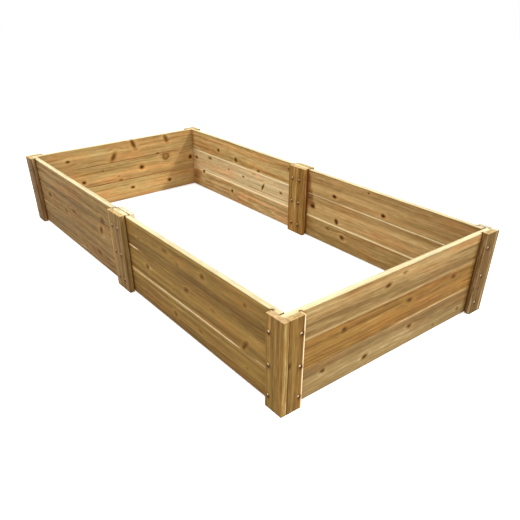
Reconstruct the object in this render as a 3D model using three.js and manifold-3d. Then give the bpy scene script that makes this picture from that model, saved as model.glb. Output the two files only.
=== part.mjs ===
// A raised garden bed of cedar: three courses of tongue-and-groove boards between corner posts,
// with a sandwich post where the two bays of each long wall meet.
// Millimetres, +Z up. The origin is on the ground under the middle of the bed, +X runs along the
// bed, and the front wall faces -Y.
import * as THREE from "three";
import { mergeVertices } from "three/addons/utils/BufferGeometryUtils.js";
import Module from "manifold-3d";

const wasm = await Module();
wasm.setup();

// The bed over the outside faces of its posts
const bedLength = 2438.4;
const bedWidth = 1219.2;

// Walls: courses of boards, each with a tongue on top and a groove below
const courses = 3;
const courseHeight = 130.2;
const wallThickness = 25.4;
const wallLift = 5;
const tongueThickness = 8;
const tongueHeight = 7;
const tongueChamfer = 1;
const tongueSideClearance = 0.3;
const tongueEndClearance = 1;
const shoulderGap = 0.3;
const topEdgeEase = 1.6;

// Posts: two boards at each corner, and an outer and an inner board in the middle of a long wall
const postThickness = 25.4;
const postReveal = 1.3;
const postEdgeRadius = 2.4;
const midPostWidth = 130.2;
const seamOffset = -8;

// The boards of each corner: a side board covers the end of an end board. An inset is from the
// middle of a screw to the board's edge away from the corner. Where intoShortWall is true, the
// side board's screws stand over the end of the short wall instead.
const CORNERS = {
  front_right: { sideWidth: 92, sideInset: 15, endWidth: 71, endInset: 16.6, intoShortWall: false },
  back_right: { sideWidth: 92, sideInset: 15, endWidth: 59, endInset: 23, intoShortWall: false },
  back_left: { sideWidth: 92, sideInset: 15, endWidth: 59, endInset: 23, intoShortWall: false },
  front_left: { sideWidth: 92, sideInset: 15, endWidth: 71, endInset: 16.6, intoShortWall: true },
};

// Fits
const contactGap = 0.3;
const slotSlack = 1.6;
const seamGap = 1;
const wallEndGap = 5;

// Screws, flat-headed and sunk a little
const headDiameter = 9;
const headHeight = 3.6;
const headRim = 0.8;
const headSink = 1.1;
const mouthDiameter = 12.4;
const shankDiameter = 4.2;
const pointLength = 6;
const pilotClearance = 0.25;
const pointShow = 2;
const opposedPointGap = 8;
const lowestRow = 55;
const topRowDepth = 65.6;
const midScrewSpacing = 57;
const screwSides = 10;

// The width of the V at a joint, from the eased edges of each wall's boards
const WALL_EASE = {
  front_left: 1.6,
  front_right: 3.6,
  back_left: 2.6,
  back_right: 2.6,
  left_end: 1.6,
  right_end: 2,
};

const COLOURS = {
  wall: 0xb98f5c,
  post: 0xa47c48,
  screw: 0xc9ccd0,
};
const shadePerCourse = 0.02;

// Sizes that follow from the ones above
const wallHeight = courses * courseHeight;
const postHeight = wallLift + wallHeight + postReveal;
const wallInset = postThickness + contactGap;
const innerFace = wallInset + wallThickness;
const screwBite = (wallThickness - opposedPointGap) / 2;
const cornerScrewLength = innerFace + pointShow - headSink;
const outerScrewLength = wallInset + screwBite - headSink;
const innerScrewLength = postThickness + slotSlack + screwBite - headSink;

function rowHeights() {
  const pitch = (wallHeight - lowestRow - topRowDepth) / Math.max(courses - 1, 1);
  return Array.from({ length: courses }, (_, row) => wallLift + lowestRow + row * pitch);
}

// Solids

function toSolid(geometry) {
  const bare = geometry.clone();
  bare.deleteAttribute("normal");
  bare.deleteAttribute("uv");
  const merged = mergeVertices(bare, 1e-4);
  return new wasm.Manifold(
    new wasm.Mesh({
      numProp: 3,
      vertProperties: merged.attributes.position.array,
      triVerts: new Uint32Array(merged.index.array),
    }),
  );
}

function toGeometry(solid) {
  const mesh = solid.getMesh();
  const geometry = new THREE.BufferGeometry();
  geometry.setAttribute("position", new THREE.BufferAttribute(mesh.vertProperties, 3));
  geometry.setIndex(new THREE.BufferAttribute(mesh.triVerts, 1));
  geometry.computeVertexNormals();
  return geometry;
}

function cut(geometry, cutters) {
  if (!cutters.length) return geometry;
  return toGeometry(
    cutters.reduce((solid, cutter) => solid.subtract(toSolid(cutter)), toSolid(geometry)),
  );
}

function join(geometry, pieces) {
  return toGeometry(
    pieces.reduce((solid, piece) => solid.add(toSolid(piece)), toSolid(geometry)),
  );
}

// Boards

// A post board stands on its end: width along x, thickness along y, height along z.
function postBoard(width) {
  const x = width / 2;
  const y = postThickness / 2;
  const r = postEdgeRadius;
  const outline = new THREE.Shape();
  outline.absarc(x - r, y - r, r, 0, Math.PI / 2);
  outline.absarc(-x + r, y - r, r, Math.PI / 2, Math.PI);
  outline.absarc(-x + r, -y + r, r, Math.PI, Math.PI * 1.5);
  outline.absarc(x - r, -y + r, r, Math.PI * 1.5, Math.PI * 2);
  return new THREE.ExtrudeGeometry(outline, {
    depth: postHeight,
    bevelEnabled: false,
    curveSegments: 3,
  });
}

// The section of a wall board: thickness across, height up from the bottom edge of its face.
function wallSection(ease, isTop) {
  const half = wallThickness / 2;
  const top = isTop ? courseHeight : courseHeight - shoulderGap;
  const topEase = isTop ? topEdgeEase : ease;
  const groove = tongueThickness / 2 + tongueSideClearance;
  const grooveDepth = tongueHeight - shoulderGap + tongueEndClearance;
  const tongue = tongueThickness / 2;
  const tongueTop = top + tongueHeight;
  const section = new THREE.Shape();
  section.moveTo(-half + ease, 0);
  section.lineTo(-groove, 0);
  section.lineTo(-groove, grooveDepth);
  section.lineTo(groove, grooveDepth);
  section.lineTo(groove, 0);
  section.lineTo(half - ease, 0);
  section.lineTo(half, ease);
  section.lineTo(half, top - topEase);
  section.lineTo(half - topEase, top);
  if (!isTop) {
    section.lineTo(tongue, top);
    section.lineTo(tongue, tongueTop - tongueChamfer);
    section.lineTo(tongue - tongueChamfer, tongueTop);
    section.lineTo(-tongue + tongueChamfer, tongueTop);
    section.lineTo(-tongue, tongueTop - tongueChamfer);
    section.lineTo(-tongue, top);
  }
  section.lineTo(-half + topEase, top);
  section.lineTo(-half, top - topEase);
  section.lineTo(-half, ease);
  section.closePath();
  return section;
}

// A wall board lies along x, centred on its length and its thickness.
function wallBoard(length, ease, isTop) {
  const board = new THREE.ExtrudeGeometry(wallSection(ease, isTop), {
    depth: length,
    bevelEnabled: false,
  });
  const across = new THREE.Vector3(0, 1, 0);
  const up = new THREE.Vector3(0, 0, 1);
  const along = new THREE.Vector3(1, 0, 0);
  return board
    .applyMatrix4(new THREE.Matrix4().makeBasis(across, up, along))
    .translate(-length / 2, 0, 0);
}

// Screws: each is a revolved profile that runs in along +y from the top of its head. A screw is
// { x, y, z, length, turn }, where turn swings it about z from that direction.

function revolve(profile) {
  const points = profile.map(([radius, depth]) => new THREE.Vector2(radius, depth));
  return new THREE.LatheGeometry(points, screwSides).rotateY(Math.PI / screwSides);
}

function screwBody(length) {
  return revolve([
    [0, 0],
    [headDiameter / 2, 0],
    [headDiameter / 2, headRim],
    [shankDiameter / 2, headHeight],
    [shankDiameter / 2, length - pointLength],
    [0, length],
  ]);
}

// The countersink over a head opens out to mouthDiameter at the face of the board, headSink above
// the head, and its cutter goes on as far again.
const mouthProfile = [
  [0, -2 * headSink],
  [mouthDiameter - headDiameter / 2, -2 * headSink],
  [headDiameter / 2 + pilotClearance, 0],
];

function mouth() {
  return revolve([...mouthProfile, [0, 0]]);
}

// The hole that a screw stands in, with its countersink.
function screwHole(length) {
  const shankHole = shankDiameter / 2 + pilotClearance;
  return revolve([
    ...mouthProfile,
    [headDiameter / 2 + pilotClearance, headRim],
    [shankHole, headHeight + pilotClearance],
    [shankHole, length - pointLength + pilotClearance],
    [0, length + 2 * pilotClearance],
  ]);
}

function driven(geometry, screw, origin) {
  return geometry
    .rotateZ(screw.turn)
    .translate(screw.x - origin.x, screw.y - origin.y, screw.z - origin.z);
}

const fromInside = Math.PI;
const fromEnd = (sign) => (sign * Math.PI) / 2;

// Meshes

function material(kind, shade = 0) {
  const metal = kind === "screw";
  const colour = new THREE.Color(COLOURS[kind]).offsetHSL(0, 0, shade);
  return new THREE.MeshStandardMaterial({
    color: colour,
    roughness: metal ? 0.35 : 0.72,
    metalness: metal ? 1 : 0,
  });
}

function piece(name, geometry, kind, shade) {
  const mesh = new THREE.Mesh(geometry, material(kind, shade));
  mesh.name = name;
  return mesh;
}

// One side of the bed in its own frame: x runs along the side, -y points out of the bed, and the
// outside faces of its posts lie `reach` in front of the middle of the bed.

function courseName(course) {
  if (course === courses - 1) return "top";
  if (course === 0) return "bottom";
  return courses > 3 ? `middle_${course}` : "middle";
}

// The boards of one wall, from x `from` to x `to`, drilled for the screws that reach them.
function wallBoards(wall, reach, from, to, screws) {
  const middle = -reach + wallInset + wallThickness / 2;
  return Array.from({ length: courses }, (_, course) => {
    const place = new THREE.Vector3((from + to) / 2, middle, wallLift + course * courseHeight);
    const holes = screws
      .filter((screw) => screw.z > place.z && screw.z < place.z + courseHeight)
      .map((screw) => driven(screwHole(screw.length), screw, place));
    const isTop = course === courses - 1;
    const board = cut(wallBoard(to - from, WALL_EASE[wall], isTop), holes);
    const mesh = piece(`${wall}_board_${courseName(course)}`, board, "wall", course * shadePerCourse);
    mesh.position.copy(place);
    return mesh;
  });
}

// A corner board and its column of screws. `outer` is the x of its edge nearest the corner, and
// `sign` is +1 at the side's +x end.
function cornerBoard(name, reach, outer, sign, width, screws) {
  const board = new THREE.Group();
  const place = new THREE.Vector3(outer - (sign * width) / 2, -reach + postThickness / 2, 0);
  const holes = screws.map((screw) => driven(screwHole(screw.length), screw, place));
  const plank = piece(`${name}_board`, cut(postBoard(width), holes), "post");
  plank.position.copy(place);
  board.add(plank);
  screws.forEach((screw, row) => {
    const mesh = piece(`${name}_screw_${row + 1}`, screwBody(screw.length), "screw");
    mesh.position.set(screw.x, screw.y, screw.z);
    board.add(mesh);
  });
  return board;
}

// A board of a middle post, made in one with the six screws that it carries.
function midPostBoard(name, middle, screws) {
  const place = new THREE.Vector3(0, middle, 0);
  const inPlace = (make) => (screw) => driven(make(screw.length), screw, place);
  const recessed = cut(postBoard(midPostWidth), screws.map(inPlace(mouth)));
  const board = piece(name, join(recessed, screws.map(inPlace(screwBody))), "post");
  board.position.copy(place);
  return board;
}

function cornerScrews(x, y, turn = 0) {
  return rowHeights().map((z) => ({ x, y, z, length: cornerScrewLength, turn }));
}

function midPostScrews(y, seam, length, turn = 0) {
  return rowHeights().flatMap((z) =>
    [-1, 1].map((column) => ({ x: seam + (column * midScrewSpacing) / 2, y, z, length, turn })),
  );
}

// How far a side board's screws stand from the end of the bed.
function sideScrewDistance(corner) {
  const { sideWidth, sideInset, intoShortWall } = CORNERS[corner];
  return intoShortWall ? wallInset + wallThickness / 2 : sideWidth - sideInset;
}

// A long side: two corner boards, two bays of wall boards and the middle post on their seam.
// `right` and `left` name the corners at its +x and -x ends, and `seamSide` turns the seam's
// offset into this side's own direction.
function longSide(face, right, left, seamSide) {
  const side = new THREE.Group();
  const reach = bedWidth / 2;
  const end = bedLength / 2;
  const seam = seamSide * seamOffset;
  const wallEnd = end - innerFace - wallEndGap;
  const screws = [];

  for (const [corner, sign] of [[right, 1], [left, -1]]) {
    const column = cornerScrews(sign * (end - sideScrewDistance(corner)), -reach + headSink);
    const { sideWidth, intoShortWall } = CORNERS[corner];
    side.add(cornerBoard(`${corner}_side`, reach, sign * end, sign, sideWidth, column));
    if (!intoShortWall) screws.push(...column);
  }

  const innerBoardFace = -reach + innerFace + slotSlack + postThickness;
  const outerScrews = midPostScrews(-reach + headSink, seam, outerScrewLength);
  const innerScrews = midPostScrews(innerBoardFace - headSink, seam, innerScrewLength, fromInside);
  side.add(midPostBoard(`${face}_mid_post_outer`, -reach + postThickness / 2, outerScrews));
  side.add(midPostBoard(`${face}_mid_post_inner`, innerBoardFace - postThickness / 2, innerScrews));
  screws.push(...outerScrews, ...innerScrews);

  side.add(...wallBoards(right, reach, seam + seamGap / 2, wallEnd, screws));
  side.add(...wallBoards(left, reach, -wallEnd, seam - seamGap / 2, screws));
  return side;
}

// A short side: its wall and its two corner boards butt against the long sides' corner boards.
function shortSide(wall, right, left) {
  const side = new THREE.Group();
  const reach = bedLength / 2;
  const end = bedWidth / 2 - wallInset;
  const screws = [];

  for (const [corner, sign] of [[right, 1], [left, -1]]) {
    const { endWidth, endInset, intoShortWall } = CORNERS[corner];
    const column = cornerScrews(sign * (end - endWidth + endInset), -reach + headSink);
    side.add(cornerBoard(`${corner}_end`, reach, sign * end, sign, endWidth, column));
    screws.push(...column);
    if (intoShortWall) {
      const headX = sign * (bedWidth / 2 - headSink);
      screws.push(...cornerScrews(headX, -reach + sideScrewDistance(corner), fromEnd(sign)));
    }
  }
  side.add(...wallBoards(wall, reach, -end, end, screws));
  return side;
}

// The four sides, each turned to face outwards.
function gardenBed() {
  const bed = new THREE.Group();
  const sides = [
    longSide("front", "front_right", "front_left", 1),
    shortSide("right_end", "back_right", "front_right"),
    longSide("back", "back_left", "back_right", -1),
    shortSide("left_end", "front_left", "back_left"),
  ];
  sides.forEach((side, quarterTurns) => {
    side.rotation.z = (quarterTurns * Math.PI) / 2;
    bed.add(side);
  });
  return bed;
}

export default gardenBed();
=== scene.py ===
import math
import random
from functools import partial

import bmesh
import bpy
from mathutils import Matrix, Vector


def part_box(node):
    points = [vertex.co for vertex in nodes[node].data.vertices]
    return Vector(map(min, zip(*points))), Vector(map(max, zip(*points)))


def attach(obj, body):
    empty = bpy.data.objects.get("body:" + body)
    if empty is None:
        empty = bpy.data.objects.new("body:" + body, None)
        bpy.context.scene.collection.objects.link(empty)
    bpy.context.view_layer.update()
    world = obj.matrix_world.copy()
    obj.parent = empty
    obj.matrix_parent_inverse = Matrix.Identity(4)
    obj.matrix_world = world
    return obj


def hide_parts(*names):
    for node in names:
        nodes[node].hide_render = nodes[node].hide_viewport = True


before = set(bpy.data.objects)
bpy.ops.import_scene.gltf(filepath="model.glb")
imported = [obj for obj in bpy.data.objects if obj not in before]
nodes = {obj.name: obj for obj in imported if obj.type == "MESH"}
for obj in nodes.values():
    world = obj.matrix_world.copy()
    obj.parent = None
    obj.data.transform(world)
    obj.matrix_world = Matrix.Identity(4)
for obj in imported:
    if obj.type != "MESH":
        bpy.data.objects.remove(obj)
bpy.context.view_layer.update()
print("frame loaded:", len(nodes), "nodes")

# the photo's camera: place in metres, turn in degrees, lens and sensor in millimetres
photoView = {
    "place": (2.29347, -1.56203, 1.31415),
    "turn": (56.6733, 0.3491, 52.352),
    "lens": 37.4137,
    "sensor": 36.0,
    "shift": (0.0173, 0.1363),
    "clipEnd": 200,
}

camera = bpy.data.objects.new("camera", bpy.data.cameras.new("camera"))
camera.location = photoView["place"]
camera.rotation_euler = [math.radians(angle) for angle in photoView["turn"]]
camera.data.lens = photoView["lens"]
camera.data.sensor_width = photoView["sensor"]
camera.data.shift_x, camera.data.shift_y = photoView["shift"]
camera.data.clip_end = photoView["clipEnd"]
bpy.context.scene.collection.objects.link(camera)
bpy.context.scene.camera = camera
bpy.context.scene.view_settings.view_transform = "Standard"


def calc(operation, tree, *values, clamp=False):
    node = tree.nodes.new("ShaderNodeMath")
    node.operation = operation
    node.use_clamp = clamp
    for socket, value in zip(node.inputs, values):
        setInput(tree, socket, value)
    return node.outputs[0]


times, timesPlus, plus, minus = (
    partial(calc, operation) for operation in ("MULTIPLY", "MULTIPLY_ADD", "ADD", "SUBTRACT")
)


def setInput(tree, socket, value):
    if isinstance(value, bpy.types.NodeSocket):
        tree.links.new(value, socket)
    else:
        socket.default_value = value


def clamped(tree, value, factor=1.0):
    # the value times the factor, kept between 0 and 1
    return times(tree, value, factor, clamp=True)


def paint(tree, factor, first, second, how="MIX"):
    # sockets 6 and 7 of a Mix node are its two colours
    node = tree.nodes.new("ShaderNodeMix")
    node.data_type = "RGBA"
    node.blend_type = how
    setInput(tree, node.inputs[0], factor)
    for socket, colour in ((node.inputs[6], first), (node.inputs[7], second)):
        if not isinstance(colour, bpy.types.NodeSocket):
            colour = (*colour, 1)
        setInput(tree, socket, colour)
    return node.outputs[2]


def fade(tree, value, low, high, toLow=0.0, toHigh=1.0):
    # a soft step between low and high
    node = tree.nodes.new("ShaderNodeMapRange")
    node.interpolation_type = "SMOOTHSTEP"
    for socket, number in zip(node.inputs, (value, low, high, toLow, toHigh)):
        setInput(tree, socket, number)
    return node.outputs[0]


def seenRays(tree):
    # the camera, and what metal reflects, see the plain white studio
    rays = tree.nodes.new("ShaderNodeLightPath").outputs
    glossy = calc("MAXIMUM", tree, rays["Is Camera Ray"], rays["Is Glossy Ray"])
    return calc("MAXIMUM", tree, glossy, rays["Is Transmission Ray"])


studio = {
    "worldColour": (0.96, 0.98, 1.0),
    "worldStrength": 0.67,
    # each lamp: strength, colour, direction from the bed to the lamp, and its width in degrees
    "lamps": {
        "key": (2.15, (1.0, 0.975, 0.93), (0.6, 0.73, 1.0), 3.5),
        "left": (0.55, (1.0, 0.98, 0.95), (-0.38, -0.2, 1.0), 5.0),
        "fill": (1.03, (1.0, 0.99, 0.97), (0.34, -0.8, 1.0), 70.0),
    },
    "floorColour": (0.9, 0.9, 0.9),
    "floorGlow": 0.55,
    "floorSize": 24.0,
}

world = bpy.data.worlds.new("studio")
world.use_nodes = True
bpy.context.scene.world = world
tree = world.node_tree
tree.nodes.clear()
lit = tree.nodes.new("ShaderNodeBackground")
lit.inputs["Color"].default_value = (*studio["worldColour"], 1)
lit.inputs["Strength"].default_value = studio["worldStrength"]
seen = tree.nodes.new("ShaderNodeBackground")
seen.inputs["Color"].default_value = (1, 1, 1, 1)
either = tree.nodes.new("ShaderNodeMixShader")
tree.links.new(seenRays(tree), either.inputs[0])
tree.links.new(lit.outputs[0], either.inputs[1])
tree.links.new(seen.outputs[0], either.inputs[2])
tree.links.new(either.outputs[0], tree.nodes.new("ShaderNodeOutputWorld").inputs[0])

for name, (strength, colour, toward, width) in studio["lamps"].items():
    lamp = bpy.data.objects.new(name, bpy.data.lights.new(name, "SUN"))
    lamp.data.energy = strength
    lamp.data.color = colour
    lamp.data.angle = math.radians(width)
    lamp.rotation_euler = Vector(toward).to_track_quat("Z", "Y").to_euler()
    bpy.context.scene.collection.objects.link(lamp)

floorMaterial = bpy.data.materials.new("floorWhite")
floorMaterial.use_nodes = True
tree = floorMaterial.node_tree
tree.nodes.clear()
paper = tree.nodes.new("ShaderNodeBsdfDiffuse")
paper.inputs["Color"].default_value = (*studio["floorColour"], 1)
glow = tree.nodes.new("ShaderNodeEmission")
shining = times(tree, seenRays(tree), studio["floorGlow"])
tree.links.new(shining, glow.inputs["Strength"])
both = tree.nodes.new("ShaderNodeAddShader")
tree.links.new(paper.outputs[0], both.inputs[0])
tree.links.new(glow.outputs[0], both.inputs[1])
tree.links.new(both.outputs[0], tree.nodes.new("ShaderNodeOutputMaterial").inputs[0])

floorMesh = bpy.data.meshes.new("floor")
shape = bmesh.new()
bmesh.ops.create_grid(shape, x_segments=2, y_segments=2, size=studio["floorSize"] / 2)
shape.to_mesh(floorMesh)
shape.free()
floorMesh.materials.append(floorMaterial)
floor = bpy.data.objects.new("floor", floorMesh)
bpy.context.scene.collection.objects.link(floor)
print("studio ready")

colourSockets = ("Early", "Late", "Cream Colour", "Colour")


def newGroup(name, inputs, outputs):
    # a node group whose inputs and outputs are numbers, apart from the colours named above
    tree = bpy.data.node_groups.new(name, "ShaderNodeTree")
    for way, labels in (("INPUT", inputs), ("OUTPUT", outputs)):
        for label in labels:
            kind = "NodeSocketColor" if label in colourSockets else "NodeSocketFloat"
            tree.interface.new_socket(label, in_out=way, socket_type=kind)
    start = tree.nodes.new("NodeGroupInput")
    end = tree.nodes.new("NodeGroupOutput")
    return tree, start.outputs, end.inputs


def addGroup(tree, group, values):
    # one use of a node group, with its inputs set or joined
    node = tree.nodes.new("ShaderNodeGroup")
    node.node_tree = group
    for label, value in values.items():
        setInput(tree, node.inputs[label], value)
    return node.outputs


def distance(tree, first, second):
    # how far a point is that lies so far off in two directions
    squares = timesPlus(tree, first, first, times(tree, second, second))
    return calc("SQRT", tree, squares)


def bell(tree, value, width):
    # 1 in the middle, falling away on both sides
    scaled = calc("DIVIDE", tree, value, width)
    return calc("EXPONENT", tree, times(tree, times(tree, scaled, scaled), -1.0))


def grainNoise(tree, along, across, depth, seed, alongScale, acrossScale, detail=2, roughness=0.5):
    # a noise drawn out along the grain; the seed slides it along and, by a part of that, across
    slide = times(tree, seed, 0.37)
    vector = tree.nodes.new("ShaderNodeCombineXYZ")
    tree.links.new(timesPlus(tree, along, alongScale, seed), vector.inputs[0])
    tree.links.new(timesPlus(tree, across, acrossScale, slide), vector.inputs[1])
    tree.links.new(times(tree, depth, acrossScale), vector.inputs[2])
    node = tree.nodes.new("ShaderNodeTexNoise")
    node.inputs["Scale"].default_value = 1
    node.inputs["Detail"].default_value = detail
    node.inputs["Roughness"].default_value = roughness
    tree.links.new(vector.outputs[0], node.inputs["Vector"])
    return node.outputs[0]


# the reaches and rims of a knot are in its own half sizes
knotLook = {
    "shove": 0.85,
    "shoveReach": 1.9,
    "rim": (1.35, 0.55),
    "hollowRim": (0.85, 0.35),
    "stainReach": 1.5,
    "stainStrength": 0.85,
    "stainTint": (0.74, 0.56, 0.3),
    "haloPlace": 2.1,
    "haloWidth": 0.7,
    "haloLight": 0.22,
    "brown": (0.17, 0.08, 0.006),
    "heart": (0.045, 0.014, 0.001),
    "ringPace": 17.0,
    "ringContrast": 0.22,
    "eye": (0.75, 0.15),
    "eyeDarkness": 0.35,
    "wanderScale": 70,
    "wander": 0.008,
    "far": 9.0,
}

# what a knot adds to, and hands on to the next knot
carriedByKnots = ("Pull", "Core", "Stain", "Halo", "Rings")


def makeKnotGroup():
    # One knot: it pushes the grain aside, and adds its core, its stain, the pale halo round it and
    # the distance that its rings are drawn by. Without bend the grain stays straight and unpaled.
    tree, start, end = newGroup(
        "cedarKnot",
        ["Along", "Across", "Place Along", "Place Across", "Half Length", "Half Height", "Lean",
         "Strength", "Heart", "Bend", *carriedByKnots],
        carriedByKnots,
    )
    up = minus(tree, start["Across"], start["Place Across"])
    side = minus(tree, start["Along"], start["Place Along"])
    leant = timesPlus(tree, up, start["Lean"], side)
    far = distance(
        tree,
        calc("DIVIDE", tree, leant, start["Half Length"]),
        calc("DIVIDE", tree, up, start["Half Height"]),
    )
    shove = times(tree, times(tree, up, knotLook["shove"]), start["Bend"])
    shove = times(tree, shove, bell(tree, far, knotLook["shoveReach"]))
    core = times(tree, fade(tree, far, *knotLook["rim"]), start["Strength"])
    hollow = times(tree, fade(tree, far, *knotLook["hollowRim"]), start["Heart"])
    core = times(tree, core, minus(tree, 1.0, hollow))
    stain = times(tree, bell(tree, far, knotLook["stainReach"]), start["Strength"])
    fromHalo = minus(tree, far, knotLook["haloPlace"])
    halo = times(tree, bell(tree, fromHalo, knotLook["haloWidth"]), start["Strength"])
    halo = times(tree, halo, start["Bend"])
    tree.links.new(plus(tree, start["Pull"], shove), end["Pull"])
    tree.links.new(calc("MAXIMUM", tree, start["Core"], core), end["Core"])
    tree.links.new(calc("MAXIMUM", tree, start["Stain"], stain), end["Stain"])
    tree.links.new(calc("MAXIMUM", tree, start["Halo"], halo), end["Halo"])
    tree.links.new(calc("MINIMUM", tree, start["Rings"], far), end["Rings"])
    return tree


def makeStreakGroup():
    # One streak: a soft band along the grain that is paler, darker or redder than its board; some
    # streaks are painted highlights and painted shadows
    tree, start, end = newGroup(
        "cedarStreak",
        ["Along", "Across", "Place", "Half Height", "From", "To", "Soft", "Paler", "Redder",
         "Light", "Red"],
        ["Light", "Red"],
    )
    band = bell(tree, minus(tree, start["Across"], start["Place"]), start["Half Height"])
    ends = []
    for label, outwards, inwards in (("From", minus, plus), ("To", plus, minus)):
        none = outwards(tree, start[label], start["Soft"])
        full = inwards(tree, start[label], start["Soft"])
        ends.append(fade(tree, start["Along"], none, full))
    mask = times(tree, band, times(tree, *ends))
    tree.links.new(timesPlus(tree, mask, start["Paler"], start["Light"]), end["Light"])
    tree.links.new(timesPlus(tree, mask, start["Redder"], start["Red"]), end["Red"])
    return tree


grain = {
    "ringGap": 0.0046,
    "ringSharpness": 2.6,
    "ringVariety": 0.8,
    "ringDarkness": 0.5,
    "bandHeight": 0.017,
    # noises: scale along the grain, scale across it, and for some the detail and the roughness
    "sway": (1.3, 2.5),
    "ragged": (7.0, 70.0, 3.0),
    "streaks": (1.8, 62.0, 3.0, 0.55),
    "figure": (17.0, 100.0, 2.0, 0.55),
    "fine": (9.0, 330.0, 2.0, 0.6),
    "fibre": (60.0, 1900.0, 1.0, 0.5),
    "drift": (3.5, 18.0, 2.0),
    "swayHeight": 0.03,
    "raggedHeight": 0.004,
    "bandContrast": 1.3,
    "streakContrast": 1.9,
    "figureContrast": 0.9,
    "fineContrast": 1.0,
    "fibreContrast": 0.4,
    "driftContrast": 3.4,
    "middleTone": 0.54,
    "deepening": 1.1,
    "deepTint": (0.5, 0.4, 0.26),
    "brightening": 0.8,
    "brightWood": (0.95, 0.78, 0.5),
    "redTint": (1.1, 0.9, 0.8),
    "greenTint": (0.97, 1.0, 0.92),
    "lookingUp": (0.35, 0.8),
    "creamWood": 0.25,
    "creamContrast": 0.5,
    "roughness": 0.64,
    "specular": 0.12,
    "bumpHeight": 0.0006,
    "bumpStrength": 0.7,
}


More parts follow.
